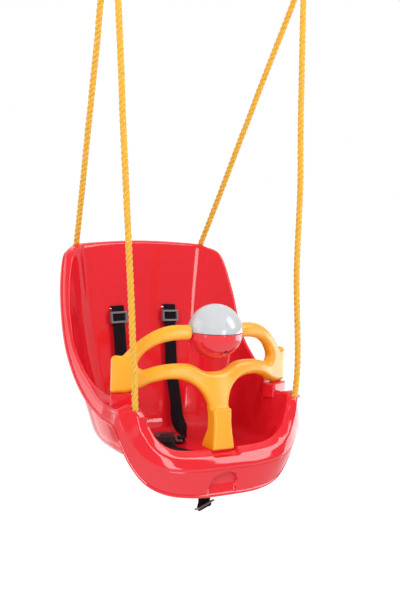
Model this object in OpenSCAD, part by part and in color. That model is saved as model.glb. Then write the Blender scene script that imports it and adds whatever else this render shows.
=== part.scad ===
/* [Seat shell] */
// Thickness of the moulded wall
wall = 3; // [2.6:0.1:3.4]
// Diameter of the four rope holes
rope_hole_d = 13; // [12:0.5:14]
// Depth of the notch that the guard's foot stands in
notch_depth = 6.5; // [5:0.5:7]

/* [Guard] */
// Depth of the guard's bars, front to back
bar_depth = 22; // [20:1:24]
// Height of the guard's bars
bar_h = 24; // [22:1:26]
// Length of the tongues that hold the guard in its side sockets
tongue_len = 34; // [28:1:38]
// Clearance round each tongue in its socket
socket_gap = 0.5; // [0.4:0.1:1]

/* [Play ball] */
// Diameter of the spinning ball
ball_d = 95; // [90:1:96]
// Thickness of the ball's wall
ball_wall = 2.5; // [2:0.5:4]
// Diameter of the axle through the ball
axle_d = 8; // [6:1:8]

/* [Harness] */
// Width of the webbing
web_w = 25; // [20:1:25]
// Thickness of the webbing
web_t = 1.4; // [1:0.1:1.6]

/* [Ropes] */
// Diameter of each rope
rope_d = 10; // [8:0.5:10]
// Wire diameter of the hanging rings
ring_wire = 8; // [6:0.5:8]
// Mean radius of the hanging rings
ring_r = 32; // [32:1:40]

/* [Hidden] */
$fn = 48;

RED = "#e8202f";
YELLOW = "#fbb22a";
ROPE = "#f5a81c";
GREY = "#6f6f75";
BLACK = "#1d1b1f";

// ---- How the seat hangs -------------------------------------------------
// The seat is drawn level with its front rope holes, then tilted back about the
// hanging point until its weight is under the rings.
HANG = [193, 69, 772];
recline = 4.4;
module hung() rotate([-recline, 0, 0]) translate([0, -HANG.y, -HANG.z]) children();

// ---- Small helpers --------------------------------------------------------
function unit(v) = v / norm(v);
function flip(p) = [-p.x, p.y, p.z];
function spline(a, b, c, d, t) =
    (2*b + (c - a)*t + (2*a - 5*b + 4*c - d)*t*t + (3*b - a - 3*c + d)*t*t*t) / 2;
function ramp(a, b, x) = let(t = min(max((x - a)/(b - a), 0), 1)) t*t*(3 - 2*t);
module both() { children(); mirror([1, 0, 0]) children(); }

// ---- Shell outline -----------------------------------------------------------
// Stations round half of the rim, from the middle of the front lip to the middle of
// the back. Each holds six points, from the inside out: floor edge, lower wall,
// inner edge of the rim, top of the rim, crest, and hem of the skirt or flange.
STATIONS = [
    [[0, 14, -104], [0, -2, -84], [0, -17, -74], [0, -31, -84], [0, -40, -100], [0, -34, -152]],
    [[56, 14, -104], [60, -2, -84], [58, -17, -73], [60, -31, -83], [60, -39, -100], [60, -32, -151]],
    [[90, 18, -104], [92, 0, -80], [98, -15, -67], [104, -28, -79], [108, -33, -97], [108, -19, -144]],
    [[112, 27, -104], [114, 5, -68], [124, -12, -50], [134, -20, -65], [142, -20, -86], [141, -3, -126]],
    [[124, 40, -104], [127, 12, -56], [137, -6, -28], [152, -10, -40], [164, -6, -64], [165, 9, -93]],
    [[131, 54, -104], [134, 26, -48], [145, 0, -6], [162, -3, -6], [179, 6, -34], [180, 17, -58]],
    [[136, 68, -104], [138, 40, -46], [149, 18, 4], [168, 16, 6], [185, 18, -6], [188, 22, -36]],
    [[139, 82, -104], [140, 58, -46], [142, 44, -2], [164, 44, -1], [182, 47, -5], [189, 44, -29]],
    [[141, 98, -104], [143, 84, -48], [142, 76, -5], [164, 78, -4], [182, 81, -1], [190, 76, -25]],
    [[141, 122, -104], [154, 122, -40], [172, 122, 16], [178, 122, 18], [183, 122, 16], [191, 127, -7]],
    [[139, 156, -104], [162, 166, -20], [177, 171, 45], [180, 171, 47], [184, 172, 45], [191, 181, 29]],
    [[132, 190, -104], [164, 210, 14], [177, 214, 88], [179, 215, 90], [183, 216, 89], [189, 228, 84]],
    [[120, 216, -103], [159, 238, 48], [173, 245, 164], [176, 247, 166], [180, 250, 166], [184, 260, 164]],
    [[102, 233, -102], [141, 265, 76], [160, 265, 226], [163, 270, 230], [167, 277, 231], [170, 285, 224]],
    [[82, 241, -102], [118, 281, 90], [139, 281, 244], [141, 292, 247], [144, 308, 246], [147, 314, 237]],
    [[60, 244, -102], [90, 287, 95], [112, 294, 251], [115, 304, 253], [118, 317, 251], [120, 322, 241]],
    [[0, 245, -102], [0, 289, 95], [0, 300, 256], [0, 309, 258], [0, 318, 256], [0, 323, 245]]];
LAST = len(STATIONS) - 1;
FLOOR_MIDDLE = [0, 130, -107];
function flipped(s) = [for (p = s) flip(p)];
function station(i) = i < 0 ? flipped(STATIONS[-i]) : i > LAST ? flipped(STATIONS[2*LAST - i]) : STATIONS[i];
function keys(s) = let(i = floor(s), a = station(i - 1), b = station(i), c = station(i + 1), d = station(i + 2))
    [for (k = [0:5]) spline(a[k], b[k], c[k], d[k], s - i)];

// How far along its two sides each corner of the profile is rounded, in mm, and in
// how many steps. The lower wall and the top of the rim are rounded all the way.
CORNERS = [[36, 4], [200, 4], [6, 3], [30, 3], [6, 3]];
function rounded(a, b, c, cut, steps) =
    let(p = b + unit(a - b)*min(cut, 0.48*norm(a - b)), q = b + unit(c - b)*min(cut, 0.48*norm(c - b)))
    [for (i = [0:steps]) let(t = i/steps) (1 - t)*(1 - t)*p + 2*t*(1 - t)*b + t*t*q];
function profile(s) = let(k = concat([FLOOR_MIDDLE], keys(s)))
    concat([0.55*k[0] + 0.45*k[1]],
        [for (i = [1:5]) each rounded(k[i - 1], k[i], k[i + 1], CORNERS[i - 1][0], CORNERS[i - 1][1])],
        [0.5*k[5] + 0.5*k[6], k[6]]);

// The lip dips where the guard's foot stands on it.
NOTCH_HALF = 25;
function dipped(p) = p.y > 10 || p.z < -96 || p.z > -60 ? p
    : p - [0, 0, notch_depth*ramp(NOTCH_HALF + 3, NOTCH_HALF, abs(p.x))*ramp(-96, -80, p.z)];

// Columns of the shell: close together at the notch, then three to a station.
COLUMNS = concat([0, 0.15, 0.3, 0.38, 0.45, 0.7], [for (i = [3:3*LAST]) i/3]);
RING = concat([for (s = COLUMNS) profile(s)],
    [for (i = [len(COLUMNS) - 2:-1:1]) flipped(profile(COLUMNS[i]))]);
SKIN = [for (col = RING) [for (p = col) dipped(p)]];

// A closed sheet: the skin, the skin moved back by the wall, and the hem between them.
module sheet(skin, middle, thickness) {
    m = len(skin);
    n = len(skin[0]);
    normals = [for (i = [0:m - 1]) [for (j = [0:n - 1])
        unit(cross(skin[(i + 1) % m][j] - skin[(i + m - 1) % m][j],
            skin[i][min(j + 1, n - 1)] - skin[i][max(j - 1, 0)]))]];
    back = [for (i = [0:m - 1]) [for (j = [0:n - 1]) skin[i][j] + thickness*normals[i][j]]];
    flat_skin = [for (col = skin) each col];
    flat_back = [for (col = back) each col];
    points = concat(flat_skin, flat_back, [middle, middle - [0, 0, thickness]]);
    top = 2*m*n;
    faces = concat(
        [for (i = [0:m - 1], j = [0:n - 2]) each let(a = i*n + j, b = ((i + 1) % m)*n + j)
            [[a, b, b + 1], [a, b + 1, a + 1],
             [m*n + a, m*n + b + 1, m*n + b], [m*n + a, m*n + a + 1, m*n + b + 1]]],
        [for (i = [0:m - 1]) each let(a = i*n, b = ((i + 1) % m)*n) [[top, b, a], [top + 1, m*n + a, m*n + b]]],
        [for (i = [0:m - 1]) each let(a = i*n + n - 1, b = ((i + 1) % m)*n + n - 1)
            [[a, b, m*n + b], [a, m*n + b, m*n + a]]]);
    polyhedron(points, faces, convexity = 10);
}

// ---- Guard outline ------------------------------------------------------------
BALL = [0, 22, 119];
BOW_R = 320;
PADDLE_X = 125;
PADDLE_TURN = asin(PADDLE_X/BOW_R);
PADDLE_Y = BALL.y + BOW_R - sqrt(BOW_R*BOW_R - PADDLE_X*PADDLE_X);
SOCKET_Z = 16;
BAR_TOP_Z = 131;
TONGUE = [26, 8];
TONGUE_X = 36;

// A smooth curve through points, with straight-line ends.
function through(p, steps) = let(n = len(p) - 1) concat(
    [for (i = [0:n - 1], k = [0:steps - 1])
        spline(p[max(i - 1, 0)], p[i], p[i + 1], p[min(i + 2, n)], k/steps)], [p[n]]);

// Front view of half the guard: saddle, lower bar, loop, upper bar, paddle, underside, stem.
SADDLE = through([[0, 49.5], [14, 50], [26, 54], [39, 61.5], [52, 65], [77, 65.5], [102, 62], [124, 55]], 3);
LOOP_END = through([[124, 55], [131, 59], [133, 66], [130, 74]], 3);
LOOP_TOP = through([[130, 74], [121, 86], [104, 98], [80, BAR_TOP_Z - bar_h - 2], [49, BAR_TOP_Z - bar_h]], 3);
BAR_TOP = through([[49, BAR_TOP_Z], [76, BAR_TOP_Z], [98, 126], [119, 115], [138, 99], [156, 79]], 3);
PADDLE = [[158, 78], [163, 79], [168, 79], [172, 77], [174, 73], [174, 20], [172, 17], [169, SOCKET_Z]];
UNDERSIDE = through([[150, SOCKET_Z], [131, 23], [112, 33], [91, 38.5], [72, 39.5], [57, 37], [44, 31.5],
    [33, 23], [25, 12], [20, -1]], 3);
STEM_EDGE = [[18.5, -10], [17.5, -30], [18.5, -50], [20.5, -66], [21.5, -77], [20, -80]];
HALF_FRONT = concat(SADDLE, LOOP_END, LOOP_TOP, BAR_TOP, PADDLE, UNDERSIDE, STEM_EDGE, [[0, -80]]);

// Below this slanted line the lower bar leans forward and flows into the stem.
LEAN_TOP = 50;
LEAN_FALL = 0.45;
LEAN_ANGLE = 20;
LEAN_WEDGE = [[0, LEAN_TOP], [70, LEAN_TOP - 70*LEAN_FALL], [70, -8], [0, -8]];
STEM_SIDE = [[-8, -5], [-10, -10], [-13, -10], [-21, -76], [-19, -80], [18, -80], [20, -76],
    [18, -68], [9, -46], [10, -20], [12, -5]];

module paddle_frame() translate([PADDLE_X, PADDLE_Y, 0]) rotate([0, 0, PADDLE_TURN]) children();
module front_view(height = 200) rotate([90, 0, 0]) linear_extrude(height = height, center = true) children();
module bow() translate([0, 0, -100]) linear_extrude(height = 300) {
    intersection() {
        translate([0, BALL.y + BOW_R]) difference() {
            circle(r = BOW_R + bar_depth/2, $fn = 360);
            circle(r = BOW_R - bar_depth/2, $fn = 360);
        }
        translate([-PADDLE_X, 0]) square([2*PADDLE_X, 100]);
    }
    both() translate([PADDLE_X, PADDLE_Y]) rotate(PADDLE_TURN)
        translate([-2, -bar_depth/2]) square([72, bar_depth]);
}

module leaning_bow() translate([0, BALL.y, LEAN_TOP]) rotate(a = -LEAN_ANGLE, v = [1, 0, -LEAN_FALL])
    translate([0, -BALL.y, -LEAN_TOP]) bow();

module guard() color(YELLOW) hung() difference() {
    union() {
        intersection() {
            front_view() both_flat() difference() {
                polygon(HALF_FRONT);
                translate([0, -0.3]) polygon(LEAN_WEDGE);
                translate([0, -100]) square([60, 95]);
            }
            bow();
        }
        both() intersection() {
            front_view() intersection() {
                polygon(HALF_FRONT);
                polygon(LEAN_WEDGE);
            }
            leaning_bow();
        }
        intersection() {
            front_view() both_flat() polygon(HALF_FRONT);
            rotate([90, 0, 90]) linear_extrude(height = 80, center = true) polygon(STEM_SIDE);
        }
        both() paddle_frame() translate([TONGUE_X - TONGUE.x/2, -TONGUE.y/2, SOCKET_Z - tongue_len])
            cube([TONGUE.x, TONGUE.y, tongue_len + 4]);
    }
    translate(BALL) rotate([0, 90, 0]) cylinder(d = axle_d, h = 2*AXLE_HALF, center = true);
}
module both_flat() { children(); mirror([1, 0]) children(); }

// ---- Ball on the guard's upper bar ---------------------------------------------
AXLE_HALF = 62;
SCREW_Y = 35;
HUB = [32, 46.2, 7];
BOSS_H = 26.5;
module ball_axle() color("silver") hung()
    translate(BALL) rotate([0, 90, 0]) cylinder(d = axle_d, h = 2*AXLE_HALF, center = true);
// One half of the hollow ball, dome up: half hubs for the axle, and two screw bosses.
module ball_half() {
    rotate_extrude($fn = 96) intersection() {
        difference() {
            circle(d = ball_d, $fn = 96);
            circle(d = ball_d - 2*ball_wall, $fn = 96);
        }
        square(ball_d);
    }
    for (side = [-1, 1]) translate([0, side*SCREW_Y, 0]) cylinder(r = 4, h = BOSS_H);
    intersection() {
        for (side = [-1, 1]) translate([side*(HUB[0] + HUB[1])/2, 0, 0]) rotate([0, 90, 0])
            cylinder(r = HUB[2], h = HUB[1] - HUB[0], center = true);
        translate([-60, -20, 0]) cube([120, 40, 20]);
    }
}
module axle_bore() rotate([0, 90, 0]) cylinder(d = axle_d + 0.16, h = 120, center = true);
module ball_upper() color("gainsboro") hung() translate(BALL) difference() {
    ball_half();
    axle_bore();
    for (side = [-1, 1]) translate([0, side*SCREW_Y, -1]) cylinder(r = 1.5, h = 13);
}
module ball_lower() color(RED) hung() translate(BALL) difference() {
    mirror([0, 0, 1]) ball_half();
    axle_bore();
    for (side = [-1, 1]) translate([0, side*SCREW_Y, 0]) {
        translate([0, 0, -20]) cylinder(r = 1.5, h = 30);
        translate([0, 0, -60]) cylinder(r = 3.4, h = 48);
    }
}
module ball_screws() color("silver") hung() translate(BALL)
    for (side = [-1, 1]) translate([0, side*SCREW_Y, 0]) {
        translate([0, 0, -13]) cylinder(r = 1.4, h = 24);
        translate([0, 0, -14.5]) cylinder(r = 3, h = 2);
    }

// ---- Seat shell ---------------------------------------------------------------------
FRONT_HOLE = [160, 1, 4];
FRONT_STOP = [158, 15, -16];
REAR_HOLE = [134, 306, 247];
REAR_STOP = [130, 316, 226];
SLOT_X = 56;
SLOT_Z = 131;
CROTCH_SLOT = [0, 38, -105];
BLOCK = [[12, -13.5, -12], [54, 13.5, SOCKET_Z - 0.4]];

// Stands a child's +Z along the line from p to q, with its origin at p.
module along(p, q) translate(p)
    rotate([0, acos((q - p).z/norm(q - p)), atan2((q - p).y, (q - p).x)]) children();

module socket_block() translate(BLOCK[0]) cube(BLOCK[1] - BLOCK[0]);
module socket_slot() translate([TONGUE_X - TONGUE.x/2 - socket_gap, -TONGUE.y/2 - socket_gap, SOCKET_Z - tongue_len - 3])
    cube([TONGUE.x + 2*socket_gap, TONGUE.y + 2*socket_gap, tongue_len + 10]);

module seat_shell() color(RED) hung() difference() {
    union() {
        sheet(SKIN, FLOOR_MIDDLE, wall);
        both() paddle_frame() socket_block();
    }
    both() paddle_frame() socket_slot();
    both() along(FRONT_STOP, FRONT_HOLE) translate([0, 0, 4]) cylinder(d = rope_hole_d, h = 36);
    both() along(REAR_STOP, REAR_HOLE) translate([0, 0, 6]) cylinder(d = rope_hole_d, h = 30);
    both() translate([SLOT_X, 290, SLOT_Z]) cube([web_w + 4, 30, 5], center = true);
    translate(CROTCH_SLOT) cube([web_w + 4, 5, 20], center = true);
}

// ---- Webbing --------------------------------------------------------------------------
// A flat strap along a path. Each stop is [place, direction across the strap].
function frame_at(stops, i) = let(n = len(stops) - 1, p = stops[i][0],
    t = unit(stops[min(i + 1, n)][0] - stops[max(i - 1, 0)][0]),
    w = unit(stops[i][1] - (stops[i][1]*t)*t)) [p, w, cross(t, w)];
module strap(stops, width, thickness) {
    n = len(stops) - 1;
    frames = [for (i = [0:n]) frame_at(stops, i)];
    points = [for (f = frames) each [for (c = [[1, 1], [-1, 1], [-1, -1], [1, -1]])
        f[0] + f[1]*c.x*width/2 + f[2]*c.y*thickness/2]];
    faces = concat([[0, 1, 2, 3], [for (k = [3:-1:0]) 4*n + k]],
        [for (i = [0:n - 1], k = [0:3]) each let(a = 4*i + k, b = 4*i + (k + 1) % 4)
            k < 2 ? [[a, a + 4, b + 4], [a, b + 4, b]] : [[a, a + 4, b], [b, a + 4, b + 4]]]);
    polyhedron(points, faces, convexity = 6);
}

// The straight run of each shoulder strap, which its adjuster slides along.
RUN_TOP = [56, 281, 127];
RUN_END = [53, 262, 20];
RUN = unit(RUN_TOP - RUN_END);
ACROSS = [1, 0, -0.028];
BACK_END = [[[56, 295.2, 136.6], ACROSS], [[56, 298.6, 136.6], ACROSS], [[56, 300.8, 135.4], ACROSS],
    [[56, 301.6, 133.7], ACROSS], [[56, 300.8, 132], ACROSS], [[56, 298.6, 130.9], ACROSS],
    [[56, 286.5, 130.9], ACROSS], [[56, 282.6, 129.8], ACROSS], [RUN_TOP, ACROSS], [RUN_END, ACROSS]];
RIGHT_FOOT = [[[54, 254, -14], [1, 0, 0]], [[54, 242, -48], [1, 0, 0]], [[50, 229, -72], [1, 0, 0.2]],
    [[46, 212, -86], [1, 0, 0.6]], [[42, 194, -90], [0.6, 0, 1]], [[38, 176, -91], [0.2, 0, 1]],
    [[34.5, 165, -91], [0, 0, 1]]];
LEFT_FOOT = [[[44, 254, -14], [1, 0, 0]], [[46, 243, -45], [1, 0, 0]], [[51, 228, -72], [1, 0, 0.2]],
    [[56, 214, -86], [0.9, 0, 0.6]], [[59, 202, -90], [0.5, 0, 1]], [[59.5, 195, -91], [0, 0, 1]]];
module shoulder_strap_left() color(BLACK) hung() mirror([1, 0, 0])
    strap(concat(BACK_END, through(LEFT_FOOT, 3)), web_w, web_t);
module shoulder_strap_right() color(BLACK) hung()
    strap(concat(BACK_END, through(RIGHT_FOOT, 3)), web_w, web_t);

// A frame for webbing: two rails in front of the strap and a bar behind it.
ADJUSTER = [34, 22];
module slider() {
    for (side = [-1, 1]) translate([side*15.3, 0, 0]) cube([3.4, 7.6, ADJUSTER.y], center = true);
    for (side = [-1, 1]) translate([0, -2.6, side*9]) cube([ADJUSTER.x, 2.4, 4], center = true);
    translate([0, 2.6, 0]) cube([ADJUSTER.x, 2.4, 4.4], center = true);
}
ADJUSTER_DROP = 14;
module on_run(side) mirror([side < 0 ? 1 : 0, 0, 0]) translate(RUN_TOP - RUN*ADJUSTER_DROP)
    rotate([0, asin(RUN.x/cos(asin(RUN.y))), 0]) rotate([-asin(RUN.y), 0, 0]) children();
module adjuster_left() color(GREY) hung() on_run(-1) slider();
module adjuster_right() color(GREY) hung() on_run(1) slider();

// A flat frame with one bar, which the end of a strap is turned round.
module keeper() difference() {
    cube([34, 3, 20], center = true);
    for (side = [-1, 1]) translate([0, 0, side*3.9]) cube([web_w + 1.4, 10, 5], center = true);
}
module back_keeper_left() color(GREY) hung() translate([-SLOT_X, 297.8, 133.8]) keeper();
module back_keeper_right() color(GREY) hung() translate([SLOT_X, 297.8, 133.8]) keeper();

KEEPER_LOW = [0, 36, -190];
KEEPER_TILT = [66, -21, 0];
module crotch_keeper() color(GREY) hung() translate(KEEPER_LOW) rotate(KEEPER_TILT) keeper();
CROTCH = [[[-19, 151, -99], [1, -0.4, 0]], [[-22, 141, -102], [1, -0.35, 0]], [[-20, 124, -105.6], [1, 0, 0]],
    [[-14, 97, -105.2], [1, 0.1, 0]], [[-5, 62, -104.2], [1, 0.1, 0]], [[-1, 44, -103.4], [1, 0, 0]],
    [[0, 39.2, -104.6], [1, 0, 0]], [[0, 37.8, -108], [1, 0, 0]], [[0, 37, -125], [1, 0, 0]],
    [[0, 36.6, -160], [1, 0, -0.2]], [[0, 37, -180], [1, 0, 0.3]], [[0, 38.6, -187], [1, 0, 0.38]],
    [[0, 38.6, -193], [1, 0, 0.38]], [[0, 36, -196], [1, 0, 0.38]], [[0, 33.4, -193], [1, 0, 0.38]],
    [[0, 32.6, -186], [1, 0, 0.38]]];
module crotch_strap() color(BLACK) hung() strap(CROTCH, web_w, web_t);

// ---- Buckle on the seat floor -----------------------------------------------------------
BUCKLE = [-13, 162, -105.4];
BUCKLE_TURN = -25;
CASE = [36, 38];
BASE_H = 5;
CASE_H = 14;
BUTTON_R = 7.5;
TONGUE_Z = 6.1;
BUTTON_Z = 9.6;
module buckle_frame() translate(BUCKLE) rotate([0, 0, BUCKLE_TURN]) children();
module case_outline(inset = 0) {
    square([CASE.x - 2*inset - 8, CASE.y - 2*inset], center = true);
    square([CASE.x - 2*inset, CASE.y - 2*inset - 8], center = true);
    for (x = [-1, 1], y = [-1, 1]) translate([x*(CASE.x/2 - 4 - inset), y*(CASE.y/2 - 4 - inset)]) circle(r = 4);
}
module buckle_base() color(GREY) hung() buckle_frame() difference() {
    linear_extrude(height = BASE_H) case_outline();
    translate([-15, -10, 2]) cube([30, 20, 10]);
    translate([-web_w/2 - 0.5, -CASE.y/2 + 3, -1]) cube([web_w + 1, 3, 20]);
}
module buckle_cover() color(GREY) hung() buckle_frame() difference() {
    translate([0, 0, BASE_H]) linear_extrude(height = CASE_H - BASE_H) case_outline();
    translate([0, 0, BASE_H - 1]) cylinder(r = 9.7, h = BUTTON_Z + 2.3 - BASE_H);
    cylinder(r = BUTTON_R + 0.4, h = 20);
    translate([-30, -9.4, BASE_H - 1]) cube([60, 18.8, 4]);
    translate([-web_w/2 - 0.5, -CASE.y/2 + 3, -1]) cube([web_w + 1, 3, 20]);
}
module buckle_button() color(GREY) hung() buckle_frame() {
    translate([0, 0, BUTTON_Z]) cylinder(r = BUTTON_R, h = 6.2);
    translate([0, 0, BUTTON_Z]) cylinder(r = 9.2, h = 1);
}
COILS = 3;
COIL_STEPS = 12;
module button_spring() color("silver") hung() buckle_frame() {
    turns = [for (i = [0:COILS*COIL_STEPS]) let(a = 360*i/COIL_STEPS)
        [3.4*cos(a), 3.4*sin(a), 2.5 + (BUTTON_Z - 3.2)*i/(COILS*COIL_STEPS)]];
    tube(turns, 0.45, 6);
}
module latch_tongue() {
    translate([4.5, -8, TONGUE_Z - 0.8]) cube([16, 16, 1.8]);
    translate([19, -17, TONGUE_Z - 0.8]) difference() {
        cube([13, 34, 3]);
        translate([4, 4, -1]) cube([5, 26, 5]);
    }
}
module latch_tongue_right() color(GREY) hung() buckle_frame() latch_tongue();
module latch_tongue_left() color(GREY) hung() buckle_frame() mirror([1, 0, 0]) latch_tongue();
module strap_end() {
    translate([24.6, -web_w/2, TONGUE_Z - 2.6]) cube([12, web_w, web_t]);
    translate([24.6, -web_w/2, TONGUE_Z + 2.8]) cube([12, web_w, web_t]);
    translate([35.2, -web_w/2, TONGUE_Z - 2.6]) cube([1.4, web_w, 6.8]);
    translate([24, -web_w/2, TONGUE_Z - 2.6]) cube([1.4, web_w, 6.8]);
}
module strap_end_right() color(BLACK) hung() buckle_frame() strap_end();
module strap_end_left() color(BLACK) hung() buckle_frame() mirror([1, 0, 0]) strap_end();

// ---- Ropes, knots and rings ----------------------------------------------------------------
// A round tube swept along a list of points.
module tube(route, radius, sides) {
    n = len(route) - 1;
    tangents = [for (i = [0:n]) unit(route[min(i + 1, n)] - route[max(i - 1, 0)])];
    side = [for (t = tangents) unit(cross(t, abs(t.x) < 0.9 ? [1, 0, 0] : [0, 1, 0]))];
    points = [for (i = [0:n], k = [0:sides - 1]) let(a = 360*k/sides)
        route[i] + radius*(cos(a)*side[i] + sin(a)*cross(tangents[i], side[i]))];
    faces = concat([[for (k = [0:sides - 1]) k], [for (k = [sides - 1:-1:0]) n*sides + k]],
        [for (i = [0:n - 1], k = [0:sides - 1]) each let(a = i*sides + k, b = i*sides + (k + 1) % sides)
            [[a, a + sides, b + sides], [a, b + sides, b]]]);
    polyhedron(points, faces, convexity = 6);
}
FRONT_LEFT_ROUTE = [[-158, 15, -16], [-159, 8, -8], [-160, 3, 2], [-161, 3, 14], [-162, 5, 55], [-164, 10, 105],
    [-166, 14, 160], [-168, 19, 215], [-170, 24, 270], [-172, 29, 325], [-174, 34, 380], [-176, 39, 435],
    [-178, 44, 490], [-179, 49, 545], [-181, 54, 600], [-183, 59, 655], [-185, 63, 700], [-187, 66, 738]];
FRONT_RIGHT_ROUTE = [[158, 15, -16], [159, 8, -8], [160, 3, 2], [162, 2, 14], [165, 4, 55], [166, 9, 105],
    [165, 14, 160], [165, 19, 215], [168, 24, 270], [172, 29, 325], [175, 34, 380], [176, 39, 435],
    [177, 44, 490], [179, 49, 545], [181, 54, 600], [183, 59, 655], [185, 63, 700], [187, 66, 738]];
REAR_ROUTE = [[130, 316, 226], [132, 311, 237], [134, 306, 247], [136, 300, 259], [141, 281, 300],
    [147, 258, 350], [153, 236, 400], [159, 214, 450], [165, 191, 500], [171, 169, 550], [177, 146, 600],
    [184, 124, 650], [189, 103, 695], [191, 97, 712]];
function mirrored_route(route) = [for (p = route) flip(p)];
module rope_front_left() color(ROPE) hung() tube(FRONT_LEFT_ROUTE, rope_d/2, 10);
module rope_front_right() color(ROPE) hung() tube(FRONT_RIGHT_ROUTE, rope_d/2, 10);
module rope_rear_left() color(ROPE) hung() tube(mirrored_route(REAR_ROUTE), rope_d/2, 10);
module rope_rear_right() color(ROPE) hung() tube(REAR_ROUTE, rope_d/2, 10);

// A knot's outer form, standing on +Z: a barrel with round shoulders.
module knot(length, radius) rotate_extrude()
    polygon(concat([[0, 0]], [for (i = [0:8]) let(a = -90 + 22.5*i)
        [radius - 4 + 4*cos(a), length/2 + (length/2 - 4)*sign(a) + 4*sin(a)]], [[0, length]]));
STOP_R = 10;
STOP_L = 18;
module stopper(stop, hole) along(stop, hole) translate([0, 0, -STOP_L + 5]) knot(STOP_L, STOP_R);
module stopper_front_right() color(ROPE) hung() stopper(FRONT_STOP, FRONT_HOLE);
module stopper_front_left() color(ROPE) hung() mirror([1, 0, 0]) stopper(FRONT_STOP, FRONT_HOLE);
module stopper_rear_right() color(ROPE) hung() stopper(REAR_STOP, REAR_HOLE);
module stopper_rear_left() color(ROPE) hung() mirror([1, 0, 0]) stopper(REAR_STOP, REAR_HOLE);

// Each rope's eye turns round the bottom of its ring, side by side with its neighbour's.
EYE_R = rope_d/2 + ring_wire/2 + 2.2;
EYE_SIDE = rope_d/2 + 0.6;
KNOT_L = 22;
KNOT_R = 10;
module eye(side, toward, drop) {
    top = HANG + [side*EYE_SIDE, 0, 0];
    translate(top) rotate([0, 90, 0]) rotate_extrude() translate([EYE_R, 0]) circle(d = rope_d);
    along(top, toward) {
        translate([0, 0, drop - KNOT_L/2]) knot(KNOT_L, KNOT_R);
        translate([0, 0, EYE_R]) cylinder(d = rope_d + 2, h = drop - EYE_R);
    }
}
FRONT_DROP = 27;
REAR_DROP = 52;
module eye_front_right() color(ROPE) hung() eye(-1, FRONT_RIGHT_ROUTE[len(FRONT_RIGHT_ROUTE) - 1], FRONT_DROP);
module eye_front_left() color(ROPE) hung() mirror([1, 0, 0])
    eye(-1, FRONT_RIGHT_ROUTE[len(FRONT_RIGHT_ROUTE) - 1], FRONT_DROP);
module eye_rear_right() color(ROPE) hung() eye(1, REAR_ROUTE[len(REAR_ROUTE) - 1], REAR_DROP);
module eye_rear_left() color(ROPE) hung() mirror([1, 0, 0]) eye(1, REAR_ROUTE[len(REAR_ROUTE) - 1], REAR_DROP);
module ring(side) translate([side*HANG.x, 0, ring_r]) rotate([90, 0, 0])
    rotate_extrude($fn = 64) translate([ring_r, 0]) circle(d = ring_wire);
module ring_right() color("silver") ring(1);
module ring_left() color("silver") ring(-1);

seat_shell();
guard();
ball_axle();
ball_upper();
ball_lower();
ball_screws();
shoulder_strap_left();
shoulder_strap_right();
strap_end_left();
strap_end_right();
adjuster_left();
adjuster_right();
back_keeper_left();
back_keeper_right();
crotch_strap();
crotch_keeper();
buckle_base();
buckle_cover();
buckle_button();
button_spring();
latch_tongue_left();
latch_tongue_right();
rope_front_left();
rope_front_right();
rope_rear_left();
rope_rear_right();
stopper_front_left();
stopper_front_right();
stopper_rear_left();
stopper_rear_right();
eye_front_left();
eye_front_right();
eye_rear_left();
eye_rear_right();
ring_left();
ring_right();
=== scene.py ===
"""Looks of the toddler bucket swing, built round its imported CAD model.

Shapes are worked out in the seat's own millimetres (X to the right, Y to the back, Z up,
level with the front rope holes) and hung() places them in the frame, in metres.
"""

import math

import bmesh
import bpy
import numpy as np
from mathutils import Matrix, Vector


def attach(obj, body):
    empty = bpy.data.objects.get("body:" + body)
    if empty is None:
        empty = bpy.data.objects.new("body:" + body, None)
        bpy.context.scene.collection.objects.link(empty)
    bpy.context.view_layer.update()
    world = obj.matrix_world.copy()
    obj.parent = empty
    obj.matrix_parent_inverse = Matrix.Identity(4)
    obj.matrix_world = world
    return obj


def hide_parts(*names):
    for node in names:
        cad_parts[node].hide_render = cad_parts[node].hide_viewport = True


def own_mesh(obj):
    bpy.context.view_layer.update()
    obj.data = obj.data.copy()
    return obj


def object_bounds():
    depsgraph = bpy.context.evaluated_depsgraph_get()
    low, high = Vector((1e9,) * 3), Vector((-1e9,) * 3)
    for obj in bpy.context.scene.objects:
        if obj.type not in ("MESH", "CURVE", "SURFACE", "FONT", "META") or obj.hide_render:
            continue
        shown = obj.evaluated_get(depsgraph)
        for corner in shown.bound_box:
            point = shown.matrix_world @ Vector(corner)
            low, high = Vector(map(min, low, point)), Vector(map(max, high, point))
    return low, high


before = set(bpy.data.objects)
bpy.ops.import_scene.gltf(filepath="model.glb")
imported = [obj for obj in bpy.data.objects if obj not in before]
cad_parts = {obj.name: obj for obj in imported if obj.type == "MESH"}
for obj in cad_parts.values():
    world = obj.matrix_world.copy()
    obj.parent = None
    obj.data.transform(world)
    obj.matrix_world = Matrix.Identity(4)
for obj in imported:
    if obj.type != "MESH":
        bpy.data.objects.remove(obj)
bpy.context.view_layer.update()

import openvdb
from mathutils import Matrix, Vector

MM = 0.001
MIRROR = np.array([-1.0, 1.0, 1.0])


# ---- Placing things ---------------------------------------------------------
HANG = np.array([193.0, 69.0, 772.0])
RECLINE = math.radians(4.4)


def tilted(vectors):
    """Directions in the seat's frame, turned back by the hang."""
    v = np.asarray(vectors, float)
    c, s = math.cos(RECLINE), math.sin(RECLINE)
    return np.stack([v[..., 0], v[..., 1] * c + v[..., 2] * s, v[..., 2] * c - v[..., 1] * s], -1)


def hung(points):
    """Points in the seat's millimetres, as metres in the frame."""
    return tilted(np.asarray(points, float) - [0, HANG[1], HANG[2]]) * MM


def unit(v):
    v = np.asarray(v, float)
    return v / np.maximum(np.linalg.norm(v, axis=-1, keepdims=True), 1e-12)


def spline(a, b, c, d, t):
    return (2 * b + (c - a) * t + (2 * a - 5 * b + 4 * c - d) * t**2 + (3 * b - a - 3 * c + d) * t**3) / 2


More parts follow.
